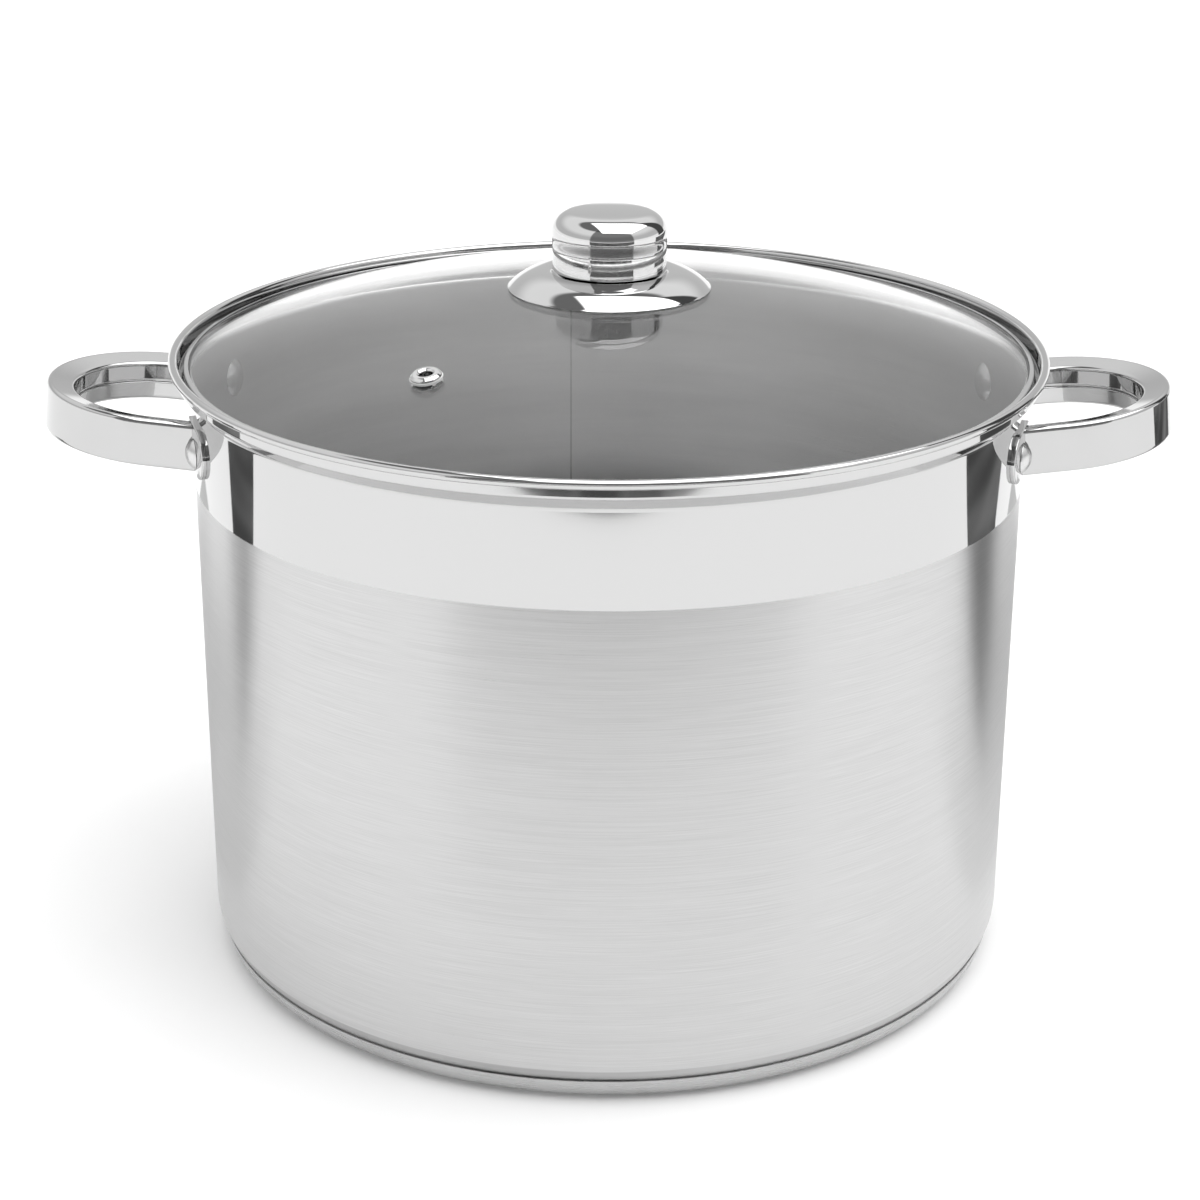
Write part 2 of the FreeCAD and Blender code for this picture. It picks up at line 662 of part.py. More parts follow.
NODES = [
    pot_body, base_core, base_cap, handle_left, handle_right, *rivets.values(),
    lid_glass, lid_band, vent_eyelet, vent_seal, vent_washer,
    knob_skirt, knob_gasket, knob_bowl, knob_cap, knob_insert,
    under_gasket, knob_washer, spring_washer, knob_screw,
]
document.recompute()
for item in document.Objects:
    if "Invalid" in item.State or "Error" in item.State:
        raise RuntimeError(f"{item.Name} failed: {item.State}")
os.makedirs("parts", exist_ok=True)
for node in NODES:
    shape = node.Shape
    if shape.isNull() or not shape.isValid():
        raise RuntimeError(f"{node.Label} has no valid shape")
    box = shape.BoundBox
    print(f"{node.Label:20s} volume {shape.Volume:12.1f}  solids {len(shape.Solids)}"
          f"  x {box.XMin:8.2f} {box.XMax:8.2f}  y {box.YMin:8.2f} {box.YMax:8.2f}"
          f"  z {box.ZMin:8.2f} {box.ZMax:8.2f}")
    shape.exportStep(os.path.join("parts", f"{node.Label}.step"))
print("nodes", len(NODES))
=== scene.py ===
# %% [markdown]
# # A steel stock pot with a glass lid
# This lesson dresses a finished CAD model of a restaurant stock pot. The CAD part fixes where
# everything is and how the lid lifts. Here each piece that shows is worked out again as a smooth
# surface, and gets the finish it has in a kitchen: mirror polish, brushed steel, clear glass.
# The frame comes first, because every later step measures from it.

# %% Load the frame
import math
import bmesh
import bpy
import numpy as np
from mathutils import Matrix, Vector


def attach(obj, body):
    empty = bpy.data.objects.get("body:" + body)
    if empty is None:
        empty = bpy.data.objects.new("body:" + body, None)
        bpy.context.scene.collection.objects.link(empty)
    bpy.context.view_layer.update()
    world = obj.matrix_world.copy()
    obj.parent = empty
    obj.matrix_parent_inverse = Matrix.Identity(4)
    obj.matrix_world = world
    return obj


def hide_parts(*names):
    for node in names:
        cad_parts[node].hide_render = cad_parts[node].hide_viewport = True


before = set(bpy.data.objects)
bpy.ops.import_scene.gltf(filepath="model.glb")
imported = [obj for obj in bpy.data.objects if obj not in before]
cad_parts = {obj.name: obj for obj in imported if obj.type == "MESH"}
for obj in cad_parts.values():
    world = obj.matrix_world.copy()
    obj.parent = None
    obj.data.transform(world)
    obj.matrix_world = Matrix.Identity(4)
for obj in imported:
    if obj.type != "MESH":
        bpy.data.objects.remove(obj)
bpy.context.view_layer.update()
MM = 0.001

# %% [markdown]
# ## Outlines with rounded corners
# Sheet metal never ends in a knife edge: every corner of the real pot has a small radius, and
# those radii catch the light. A Bevel modifier could add them afterwards, but it works on
# angles and knows nothing of the sheet. Here an outline is written as corners, each with its own
# rounding, and all the arcs are worked out at once.


# %% Rounded outlines
def rounded(corners, steps=6, guard=0.15):
    """A closed outline from corners (across, up, rounding), in millimetres.

    A rounding r at a corner whose sides meet at the angle A starts r / tan(A / 2) from the
    corner. The arc turns about the point at r / sin(A / 2) along the middle line of the angle.
    A guard point close to both ends of each long straight side keeps the shading flat there.
    """
    corners = np.asarray(corners, float)
    place, radius = corners[:, :2], corners[:, 2:3]
    back = np.roll(place, 1, 0) - place
    ahead = np.roll(place, -1, 0) - place
    back /= np.linalg.norm(back, axis=1, keepdims=True)
    ahead /= np.linalg.norm(ahead, axis=1, keepdims=True)
    angle = np.arccos(np.clip((back * ahead).sum(1, keepdims=True), -1, 1))
    reach = radius / np.tan(angle / 2)
    middle = back + ahead
    middle /= np.maximum(np.linalg.norm(middle, axis=1, keepdims=True), 1e-9)
    centre = place + middle * radius / np.sin(angle / 2)
    first, last = place + back * reach - centre, place + ahead * reach - centre
    sweep = np.maximum(math.pi - angle, 1e-6)[:, None]
    part = np.linspace(0, 1, steps)[None, :, None]
    bend = (first[:, None] * np.sin((1 - part) * sweep) + last[:, None] * np.sin(part * sweep))
    bend = centre[:, None] + bend / np.sin(sweep)
    side = np.roll(bend[:, 0], -1, 0) - bend[:, -1]
    length = np.linalg.norm(side, axis=1, keepdims=True)
    shift = side / np.maximum(length, 1e-9) * np.minimum(guard, length / 4)
    points = np.concatenate([bend, (bend[:, -1] + shift)[:, None],
                             (np.roll(bend[:, 0], -1, 0) - shift)[:, None]], axis=1)
    points = points.reshape(-1, 2)
    gap = np.linalg.norm(points - np.roll(points, 1, 0), axis=1)
    return points[gap > 1e-4]


def circle(centre, radius, start, end, steps=24):
    """Rows (across, up) on a circle, between two angles in degrees."""
    angle = np.radians(np.linspace(start, end, steps))
    return np.column_stack([centre[0] + radius * np.cos(angle),
                            centre[1] + radius * np.sin(angle)])


def arc(*circle_values):
    """The same points as corners without a rounding, for a list given to rounded."""
    return [(across, up, 0) for across, up in circle(*circle_values)]


print("a 10 mm square with 1 mm corners has",
      len(rounded([(0, 0, 1), (10, 0, 1), (10, 10, 1), (0, 10, 1)])), "points")

# %% [markdown]
# ## From arrays to a mesh
# A surface here is a grid of points: one index runs around, the other along an outline.
# Neighbouring points make the faces, so a whole piece is a few array operations. Where an
# outline touches the axis, the points of the pole fall together and are merged. The sign of the
# enclosed volume tells whether the faces look outwards.


# %% Grids, turning and placing
def turn(outline, steps):
    """A grid turned about Z: an outline point (r, z) goes to (r cos a, r sin a, z)."""
    angle = np.linspace(0, 2 * math.pi, steps, endpoint=False)[:, None]
    radius, height = outline[None, :, 0], outline[None, :, 1]
    return np.stack([radius * np.cos(angle), radius * np.sin(angle),
                     height + 0 * angle], axis=-1)


def place(points, origin, axis, sideways=(0, 0, 1)):
    """Moves a grid so that its Z runs along an axis: p = origin + x X + y Y + z axis."""
    up = np.array(axis, float) / np.linalg.norm(axis)
    across = np.cross(sideways, up)
    across /= np.linalg.norm(across)
    return np.array(origin) + points @ np.stack([across, np.cross(up, across), up])


def grid_faces(rows, columns, first=0):
    """Corner numbers of the faces of a grid that closes on itself both ways."""
    row, column = np.meshgrid(np.arange(rows), np.arange(columns), indexing="ij")
    below, right = (row + 1) % rows, (column + 1) % columns
    faces = np.stack([row * columns + column, below * columns + column,
                      below * columns + right, row * columns + right], axis=-1)
    return faces.reshape(-1, 4) + first


def signed_volume(points, faces):
    """Six times the volume: the sum of a . (b x c) over the triangles of all faces."""
    a, b, c, d = (points[faces[:, k]] for k in range(4))
    return (a * np.cross(b, c)).sum() + (a * np.cross(c, d)).sum()


def mesh_piece(name, grids, sharp=35):
    """One object from closed grids in millimetres, with merged poles and smooth shading."""
    points, faces, count = [], [], 0
    for grid in grids:
        own = grid.reshape(-1, 3) * MM
        ring = grid_faces(*grid.shape[:2])
        if signed_volume(own, ring) < 0:
            ring = ring[:, ::-1]
        points.append(own)
        faces.append(ring + count)
        count += len(own)
    return finished_mesh(name, np.concatenate(points), np.concatenate(faces), sharp)


def finished_mesh(name, points, faces, sharp=35, recalculate=False):
    """An object from points in metres and faces: doubles merged, shading split where sharp."""
    mesh = bpy.data.meshes.new(name)
    mesh.from_pydata(points, [], faces.tolist())
    work = bmesh.new()
    work.from_mesh(mesh)
    bmesh.ops.remove_doubles(work, verts=work.verts, dist=2e-7)
    if recalculate:
        bmesh.ops.recalc_face_normals(work, faces=work.faces)
    work.to_mesh(mesh)
    work.free()
    mesh.validate()
    mesh.shade_smooth()
    mesh.set_sharp_from_angle(angle=math.radians(sharp))
    piece = bpy.data.objects.new(name, mesh)
    bpy.context.scene.collection.objects.link(piece)
    open_edges = count_open_edges(mesh)
    print(f"{name}: {len(mesh.vertices)} points, {len(mesh.polygons)} faces, {open_edges} open")
    return piece


def count_open_edges(mesh):
    """Edges that don't join exactly two faces."""
    uses = np.zeros(len(mesh.loops), int)
    mesh.loops.foreach_get("edge_index", uses)
    return int((np.bincount(uses, minlength=len(mesh.edges)) != 2).sum())


def dress(piece, body, slot, finish, *nodes):
    """The piece takes a finish, rides on a body and stands for CAD nodes."""
    piece.data.materials.append(finish)
    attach(piece, body)
    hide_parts(*nodes)


def coat(node, finish):
    """A node that stays as the CAD made it takes a finish."""
    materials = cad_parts[node].data.materials
    materials.clear()
    materials.append(finish)


square = np.array([(20, 0), (30, 0), (30, 10), (20, 10)], float)
print("a square turned about Z, points around and across:", *turn(square, 12).shape[:2])


# %% [markdown]
# ## Finishes as sums
# A finish is a network of nodes, but it is easier to read as arithmetic. One small class wraps
# a socket, so that `streaks * 0.1 + 0.3` adds its own Math nodes, and one method adds every
# other kind of node.


# %% A socket that takes part in sums
class Wire:
    """An output socket, with the operators of a number."""

    def __init__(self, finish, socket):
        self.finish, self.socket = finish, socket

    def math(self, operation, *others, turned=False):
        pair = [self, *others]
        if turned:
            pair.reverse()
        return self.finish.add("ShaderNodeMath", {"operation": operation}, pair)

    def __add__(self, other):
        return self.math("ADD", other)

    def __sub__(self, other):
        return self.math("SUBTRACT", other)

    def __mul__(self, other):
        return self.math("MULTIPLY", other)

    def __rsub__(self, other):
        return self.math("SUBTRACT", other, turned=True)

    __radd__, __rmul__ = __add__, __mul__


class Finish:
    """A material or world tree to which nodes are added."""

    def __init__(self, tree):
        self.tree = tree
        tree.nodes.clear()

    def add(self, kind, settings=(), inputs=(), output=0):
        """Adds a node: its type, its settings, then the values or links of its sockets."""
        node = self.tree.nodes.new(kind)
        for key, value in dict(settings).items():
            if key == "stops":
                ramp = node.color_ramp.elements
                while len(ramp) < len(value):
                    ramp.new(0.5)
                for stop, (position, shade) in zip(ramp, value):
                    stop.position, stop.color = position, (shade, shade, shade, 1)
            else:
                setattr(node, key, value)
        pairs = inputs.items() if isinstance(inputs, dict) else enumerate(inputs)
        for key, value in pairs:
            socket = node.inputs[key]
            if isinstance(value, Wire):
                self.tree.links.new(value.socket, socket)
            else:
                socket.default_value = value
        return Wire(self, node.outputs[output]) if node.outputs else node

    def point(self):
        """Object coordinates: the place on the pot, in metres."""
        return self.add("ShaderNodeTexCoord", output="Object")

    def stretched(self, point, scale):
        return self.add("ShaderNodeVectorMath", {"operation": "MULTIPLY"}, [point, scale])

    def noise(self, point, scale, detail=3.0, roughness=0.5):
        """Noise from 0 to 1 that is finest along the axis with the largest scale."""
        return self.add("ShaderNodeTexNoise", {}, {
            "Vector": self.stretched(point, scale), "Scale": 1.0, "Detail": detail,
            "Roughness": roughness})

    def step(self, value, low, high, below=0.0, above=1.0):
        """A smooth step from one number to another."""
        return self.add("ShaderNodeMapRange", {"interpolation_type": "SMOOTHSTEP"},
                        [value, low, high, below, above])

    def blend(self, amount, first, second):
        """A colour between two colours."""
        return self.add("ShaderNodeMix", {"data_type": "RGBA"},
                        {0: amount, 6: first, 7: second}, output=2)

    def bump(self, height, strength, distance):
        return self.add("ShaderNodeBump", {}, {
            "Strength": strength, "Distance": distance, "Height": height})

    def surface(self, **values):
        """The Principled shader, with names such as Base_Color."""
        shader = self.add("ShaderNodeBsdfPrincipled", {},
                          {key.replace("_", " "): value for key, value in values.items()})
        self.add("ShaderNodeOutputMaterial", {}, {"Surface": shader})


def new_finish(name):
    """A new material and the tree that its nodes go into."""
    material = bpy.data.materials.new(name)
    material.use_nodes = True
    return material, Finish(material.node_tree)


def grey(shade):
    """A neutral colour."""
    return (shade, shade, shade, 1.0)


print("a mid grey is", grey(0.5))


# %% [markdown]
# ## The steel of the pot
# The wall has two finishes. A band below the rim is buffed to a mirror, and the rest is brushed
# around the axis with abrasive wool, which leaves lines tens of millimetres long and a tenth
# of a millimetre apart. Such lines smear a reflection up and down but keep it sharp from side
# to side, which the anisotropic setting of the shader does. One material holds both, and the
# height on the wall chooses between them.


# %% Brushed and polished wall
BAND_LINE = 0.1822          # height of the lower edge of the mirror band
WALL_MIDDLE = 0.1504        # between the inner and the outer face of the wall
SEAM_ACROSS = 0.01603       # the weld line inside, from the middle towards -X


def wall_steel():
    """Satin, mirror or inside finish, by the radius and the height of the point.

    The streaks are noise that is drawn out a hundredfold around the axis. Inside, broad soft
    bands are painted reflections of light that is thrown about between the walls, and the
    inside colour is painted darker towards the bottom, as painted shade deep in the pot.
    """
    material, finish = new_finish("pot_wall_steel")
    point = finish.point()
    flat = finish.stretched(point, (1, 1, 0))
    radius = finish.add("ShaderNodeVectorMath", {"operation": "LENGTH"}, [flat], output="Value")
    height = finish.add("ShaderNodeSeparateXYZ", {}, [point], output="Z")
    across = finish.add("ShaderNodeSeparateXYZ", {}, [point], output="X")
    depth = finish.add("ShaderNodeSeparateXYZ", {}, [point], output="Y")
    outside = finish.step(radius, WALL_MIDDLE - 0.0001, WALL_MIDDLE + 0.0001)
    above = finish.step(height, BAND_LINE - 0.0003, BAND_LINE + 0.0003)
    mirror = outside * above
    streaks = finish.noise(point, (30, 30, 3800), detail=4, roughness=0.7)
    broad = finish.noise(point, (9, 9, 160), detail=2)
    cloud = finish.noise(point, (14, 14, 14), detail=2)
    shade = (streaks - 0.5) * 0.26 + (broad - 0.5) * 0.02 + (cloud - 0.5) * 0.03 + 0.585
    # Inside the pot: the arcs are painted reflections, and the step on the height is painted
    # shade, darker towards the bottom.
    painted_reflection_arcs = finish.noise(point, (5, 5, 38), detail=3, roughness=0.6)
    inner = finish.step(height, 0.0, 0.2, 0.46, 0.82)
    inner = (streaks - 0.5) * 0.12 + (painted_reflection_arcs - 0.5) * 0.45 + inner
    seam = (across + SEAM_ACROSS).math("ABSOLUTE")
    seam = finish.step(seam, 0.0002, 0.0004, 1.0, 0.0)
    seam = seam * (1 - outside) * finish.step(depth, 0.0, 0.01) * finish.step(height, 0.016, 0.02)
    shade = shade * outside + inner * (1 - outside) - seam * 0.35
    satin = finish.add("ShaderNodeCombineColor", {}, [shade, shade, shade])
    colour = finish.blend(mirror, satin, grey(0.60))
    rough = (streaks - 0.5) * 0.10 + (cloud - 0.5) * 0.05 + 0.30
    rough = rough * (1 - mirror) + mirror * ((cloud - 0.5) * 0.03 + 0.045)
    lines = finish.bump(streaks * (1 - mirror), 0.12, 0.0001)
    finish.surface(Base_Color=colour, Metallic=1.0, Roughness=rough, Anisotropic=0.7,
                   Anisotropic_Rotation=0.25, Normal=lines)
    return material


pot_wall_steel = wall_steel()
print("mirror band from", BAND_LINE, "m up")

# %% [markdown]
# ## The pot itself
# The pot is deep-drawn from one disc: floor, rounded corner, straight wall, a flare at 45
# degrees that carries the lid, a short upright lip, and an edge that is rolled outwards. A
# lathe in the modelling sense, an outline turned about the axis, gives exactly that.

# %% Pot body
WALL = 150.0                # inside radius
SHEET = 0.8
LIP = 155.05                # inside of the upright lip
BEAD = 1.68                 # radius of the rolled edge
BEAD_HEIGHT = 226.3
bead_centre = (LIP + BEAD, BEAD_HEIGHT)
pot_outline = rounded([
    (0, 4.8, 0),
    (WALL + SHEET, 4.8, 12.0),
    (WALL + SHEET, 216.2, 2.2),
    (LIP + SHEET, 221.25, 1.2),
    *arc(bead_centre, BEAD - SHEET, 180, -70, 14),
    *arc(bead_centre, BEAD, -80, 180, 26),
    (LIP, 221.6, 1.6),
    (WALL, 216.55, 2.6),
    (WALL, 5.6, 11.2),
    (0, 5.6, 0),
], steps=9)
pot = mesh_piece("pot_body_shell", [turn(pot_outline, 384)])
dress(pot, "pot", "brushed_steel", pot_wall_steel, "pot_body")

# %% [markdown]
# ## The base
# Under the drawn pot lies an aluminium disc that spreads the heat, and a steel cap pressed up
# around it. Only the rounded rim of the cap shows, with a fine dark line above it where it
# meets the wall. The cap is turned on a lathe, so its brushing also runs around the axis.


# %% Satin steel of the base, the rivets and the small parts
def satin_steel(name, shade, roughness, grain, anisotropic=0.5):
    """Turned or blasted steel: fine noise in colour, roughness and height."""
    material, finish = new_finish(name)
    point = finish.point()
    fine = finish.noise(point, grain, detail=4, roughness=0.6)
    cloud = finish.noise(point, (60, 60, 60), detail=2)
    tone = (fine - 0.5) * 0.12 + (cloud - 0.5) * 0.08 + shade
    finish.surface(
        Base_Color=finish.add("ShaderNodeCombineColor", {}, [tone, tone, tone]), Metallic=1.0,
        Roughness=(fine - 0.5) * 0.10 + (cloud - 0.5) * 0.06 + roughness,
        Anisotropic=anisotropic, Anisotropic_Rotation=0.25,
        Normal=finish.bump(fine, 0.10, 0.0001))
    return material


cap_steel = satin_steel("base_cap_steel", 0.52, 0.28, (40, 40, 2200), 0.6)
rivet_steel = satin_steel("rivet_steel", 0.66, 0.24, (1500, 1500, 1500), 0.0)

CAP = 148.9
CAP_ROUND = 9.6
cap_outline = rounded([
    (0, 0, 0),
    *arc((CAP - CAP_ROUND, CAP_ROUND), CAP_ROUND, -90, -2.4, 22),
    *arc((CAP - CAP_ROUND, CAP_ROUND), CAP_ROUND - SHEET, -2.6, -90, 18),
    (0, SHEET, 0),
], steps=2)
cap = mesh_piece("base_cap_shell", [turn(cap_outline, 384)])
dress(cap, "pot", "brushed_steel", cap_steel, "base_cap")
coat("base_core", satin_steel("core_aluminium", 0.70, 0.42, (300, 300, 300), 0.0))

# %% [markdown]
# ## Mirror-polished steel
# Handles, knob and lid band are buffed bright. A perfect mirror looks like plastic wrap, so
# the polish keeps a trace of haze and hairline scratches, which vary the roughness a little.


# %% Polished steel
def polished_steel(name, shade=0.565, roughness=0.05):
    """A near mirror: haze in clouds of 20 mm, and hairline scratches along Y."""
    material, finish = new_finish(name)
    point = finish.point()
    haze = finish.noise(point, (45, 45, 45), detail=3)
    hair = finish.noise(point, (500, 60, 900), detail=2, roughness=0.7)
    tone = (haze - 0.5) * 0.04 + shade
    finish.surface(
        Base_Color=finish.add("ShaderNodeCombineColor", {}, [tone, tone, tone]), Metallic=1.0,
        Roughness=(haze - 0.5) * 0.04 + (hair - 0.5) * 0.03 + roughness,
        Normal=finish.bump(haze + hair * 0.05, 0.03, 0.0003))
    return material


handle_steel = polished_steel("handle_steel")
knob_steel = polished_steel("knob_steel", 0.66, 0.03)
band_steel = polished_steel("lid_band_steel", 0.68, 0.07)
print("polished:", handle_steel.name, knob_steel.name, band_steel.name)

# %% [markdown]
# ## Handles
# Each handle is a strip folded into a hollow section, bent into a bow, with the seam of the
# fold along the inside. The bow rises a little outwards. A section is carried along a path
# of straight arm, half circle, straight arm. At the wall each point of the section slides
# along the arm until it lies on the cylinder of the wall, so the fit is exact.

# %% The bow of a handle
OUTER = WALL + SHEET
TILT = math.radians(6.5)
HANDLE_HEIGHT = 200.8
BOW = 37.35                 # radius of the middle of the section
REACH = 12.0                # from the wall to the centre of the bow
TAB = 1.6
RIVET_ANGLE = math.radians(17.5)
RIVET_HEIGHT = 199.5


def handle_section():
    """Across and up: a tall flat outer face, sloping top and bottom, a seam on the inside."""
    return rounded([
        (5.25, -9.0, 1.5), (5.25, 9.0, 1.5), (-4.6, 6.9, 1.7), (-5.25, 0.35, 0.45),
        (-4.2, 0.3, 0.1), (-4.2, -0.3, 0.1), (-5.25, -0.35, 0.45), (-4.6, -6.9, 1.7)])


def along_bow(section, arm_steps=14, bow_steps=56):
    """Carries (across a, up b) along the bow.

    On the half circle the centre is (reach + R cos t, R sin t) and a runs along the radius.
    On the arms a runs sideways, and the length runs from the wall to the start of the bow.
    """
    a, b = section[:, 0][None], section[:, 1][None]
    turned_by = np.radians(np.linspace(-90, 90, bow_steps))[:, None]
    u = REACH + (BOW + a) * np.cos(turned_by)
    v = (BOW + a) * np.sin(turned_by)
    aside = BOW + a
    wall = (np.sqrt((OUTER + 0.1) ** 2 - aside ** 2) - OUTER + b * math.sin(TILT)) / math.cos(TILT)
    share = np.linspace(0, 1, arm_steps, endpoint=False)[:, None] ** 1.5
    arm = wall * (1 - share) + REACH * share
    side = aside + 0 * share
    u = np.concatenate([arm, u, arm[::-1]])
    v = np.concatenate([-side, v, side[::-1]])
    x = OUTER + u * math.cos(TILT) - b * math.sin(TILT)
    z = HANDLE_HEIGHT + u * math.sin(TILT) + b
    return np.stack([x, v, z + 0 * u], axis=-1)


def capped(grid):
    """Closes both ends of an open run of sections with a point in the middle."""
    first, last = grid[:1].mean(1, keepdims=True), grid[-1:].mean(1, keepdims=True)
    return np.concatenate([np.repeat(first, grid.shape[1], 1), grid,
                           np.repeat(last, grid.shape[1], 1)])


def end_closed_faces(rows, columns):
    """Corner numbers of the faces of a grid that closes only around its columns."""
    return grid_faces(rows, columns).reshape(rows, columns, 4)[:-1].reshape(-1, 4)


bow = capped(along_bow(handle_section()))
print("bow reaches x =", round(float(bow[..., 0].max()), 2), "mm")


# %% [markdown]
# ### Tabs
# Each arm ends in a flat tab with a round end, pressed to the wall. A tab is an outline on the
# unrolled wall: rows of the outline shrink towards its middle, and the sheet is then wrapped
# around the axis by dividing the length by the radius.


# %% Curved tabs
def tab(start, end, half, thickness, rounding=0.5):
    """Rows (along, up, proud): back, rounded edge, face, and the middle line of the face."""
    outline = rounded([(start, -half, 0.6), (end, -half, half - 0.1), (end, half, half - 0.1),
                       (start, half, 0.6)], steps=14)
    middle = np.array([(start + end) / 2, 0.0])
    bend = np.radians(np.linspace(0, 90, 6))
    inset = np.concatenate([[0.0], rounding * (1 - np.cos(bend))])
    proud = np.concatenate([[0.0], thickness - rounding + rounding * np.sin(bend)])
    span = np.linalg.norm(outline - middle, axis=1, keepdims=True)
    shrink = 1 - inset[:, None, None] / span[None]
    fills = np.linspace(1, 0, 7)[1:, None, None] * shrink[-1:]
    backs = np.linspace(0, 1, 7)[:-1, None, None] + 0 * shrink[:1]
    scale = np.concatenate([backs, shrink, fills])
    height = np.concatenate([np.zeros(6), proud, np.full(6, thickness)])
    flat = middle + (outline - middle)[None] * scale
    angle = flat[..., 0] / OUTER
    radius = OUTER + 0.05 + height[:, None]
    return np.stack([radius * np.cos(angle), radius * np.sin(angle),
                     HANDLE_HEIGHT + flat[..., 1]], axis=-1)


tabs = [tab(34, 60, 9, TAB), tab(-34, -60, 9, TAB)]


def open_grid_piece(name, grids, sharp=35):
    """As mesh_piece, for grids whose first and last rows are single points."""
    points, faces, count = [], [], 0
    for grid in grids:
        own = grid.reshape(-1, 3) * MM
        ring = end_closed_faces(*grid.shape[:2])
        if signed_volume(own, ring) < 0:
            ring = ring[:, ::-1]
        points.append(own)
        faces.append(ring + count)
        count += len(own)
    return finished_mesh(name, np.concatenate(points), np.concatenate(faces), sharp)


for side, sign in (("right", 1), ("left", -1)):
    mirrored = np.array([sign, 1, 1])
    handle = open_grid_piece(f"handle_{side}_bow", [g * mirrored for g in (bow, *tabs)])
    dress(handle, "pot", "polished_steel", handle_steel, f"handle_{side}")

# %% [markdown]
# ### Rivets
# Four rivets, two for each handle, hold the tabs to the wall. Outside they show a small domed
# head, and inside the pot a wider, flatter one.

# %% Rivets
HEAD, HEAD_RISE = 5.4, 3.0
TAIL, TAIL_RISE = 7.0, 2.2
seat_in = math.sqrt(WALL ** 2 - TAIL ** 2) - 0.05
seat_out = OUTER + 0.05 + TAB + 0.05


def cap_arc(radius, rise, steps):
    """Height of a shallow dome over its radius: the cap of a sphere."""
    ball = (radius ** 2 + rise ** 2) / (2 * rise)
    across = radius * np.sin(np.linspace(0, 1, steps) * math.pi / 2)
    return across, np.sqrt(ball ** 2 - across ** 2) - ball + rise


across, lift = cap_arc(TAIL, TAIL_RISE, 14)
tail_side = [(r, seat_in - h, 0) for r, h in zip(across, lift)]
across, lift = cap_arc(HEAD, HEAD_RISE, 14)
head_side = [(r, seat_out + h, 0) for r, h in zip(across[::-1], lift[::-1])]
rivet_outline = rounded([*tail_side, (2.5, seat_in, 0), (2.5, seat_out, 0), *head_side], steps=2,
                        guard=0.05)
for side, sign in (("right", 1), ("left", -1)):
    for word, way in (("front", -1), ("rear", 1)):
        out = (sign * math.cos(RIVET_ANGLE), way * math.sin(RIVET_ANGLE), 0)
        grid = place(turn(rivet_outline, 48), (0, 0, RIVET_HEIGHT), out)
        rivet = mesh_piece(f"rivet_{side}_{word}_head", [grid], sharp=50)
        dress(rivet, "pot", "satin_steel", rivet_steel, f"rivet_{side}_{word}")

# %% [markdown]
# ## The glass of the lid
# Toughened glass nearly 4 mm thick, pressed into a shallow dome, with a hole for the knob's
# screw and one for the vent. The grid runs around the axis. A patch of it near the vent is
# left out, and a ring of faces leads from the square gap to the round hole. Real thickness
# matters: light bends twice and mirrors twice, and that double gleam says glass.

# %% Dome with two holes
DOME_TOP, DOME, GLASS = 249.9, 463.3, 3.8
GLASS_EDGE, GLASS_HOLE = 152.15, 4.0
VENT_OUT, VENT_TURN = 103.0, math.radians(-90 - 36)
VENT_BORE = 3.55
PATCH_RINGS = 7             # rings of faces from the square gap to the round hole


def dome(radius, drop=0.0):
    """Height of the upper face, or of the lower one with drop = thickness."""
    return DOME_TOP - DOME + np.sqrt((DOME - drop) ** 2 - radius ** 2)


def pierced_dome(drop, around=320, half=4):
    """Points and faces of one face of the glass, with both holes."""
    rings = np.concatenate([np.linspace(GLASS_HOLE, 95, 30), np.linspace(95, 111, 9)[1:],
                            np.linspace(111, GLASS_EDGE, 15)[1:]])
    low = 29
    angle = VENT_TURN + np.arange(around) * 2 * math.pi / around
    radius, turned_by = np.meshgrid(rings, angle, indexing="ij")
    flat = np.stack([radius * np.cos(turned_by), radius * np.sin(turned_by)], -1).reshape(-1, 2)
    row, column = np.meshgrid(np.arange(len(rings) - 1), np.arange(around), indexing="ij")
    after = (column + 1) % around
    faces = np.stack([row * around + column, row * around + after,
                      (row + 1) * around + after, (row + 1) * around + column], -1)
    near = (column < half) | (column >= around - half)
    keep = ~(near & (row >= low) & (row < low + 2 * half))
    faces = faces[keep]
    ring_row, ring_column = square_loop(2 * half)
    loop = (low + ring_row) * around + (ring_column - half) % around
    edge = flat[loop]
    middle = VENT_OUT * np.array([math.cos(VENT_TURN), math.sin(VENT_TURN)])
    away = edge - middle
    away /= np.linalg.norm(away, axis=1, keepdims=True)
    shares = np.linspace(0, 1, PATCH_RINGS + 1)[1:, None, None]
    inner = edge[None] * (1 - shares) + (middle + away * VENT_BORE)[None] * shares
    first = len(flat)
    count = len(loop)
    numbers = np.concatenate([loop[None], first + np.arange(inner.shape[0] * count).reshape(
        -1, count)])
    following = np.roll(numbers, -1, 1)
    patch = np.stack([numbers[:-1], numbers[1:], following[1:], following[:-1]], -1)
    flat = np.concatenate([flat, inner.reshape(-1, 2)])
    height = dome(np.linalg.norm(flat, axis=1), drop)
    points = np.column_stack([flat, height])
    return points, np.concatenate([faces, patch.reshape(-1, 4)]), around, numbers[-1]


def square_loop(size):
    """Row and column numbers once around the edge of a square of cells."""
    run, none, full = np.arange(size), np.zeros(size, int), np.full(size, size)
    return (np.concatenate([none, run, full, size - run]),
            np.concatenate([run, full, size - run, none]))


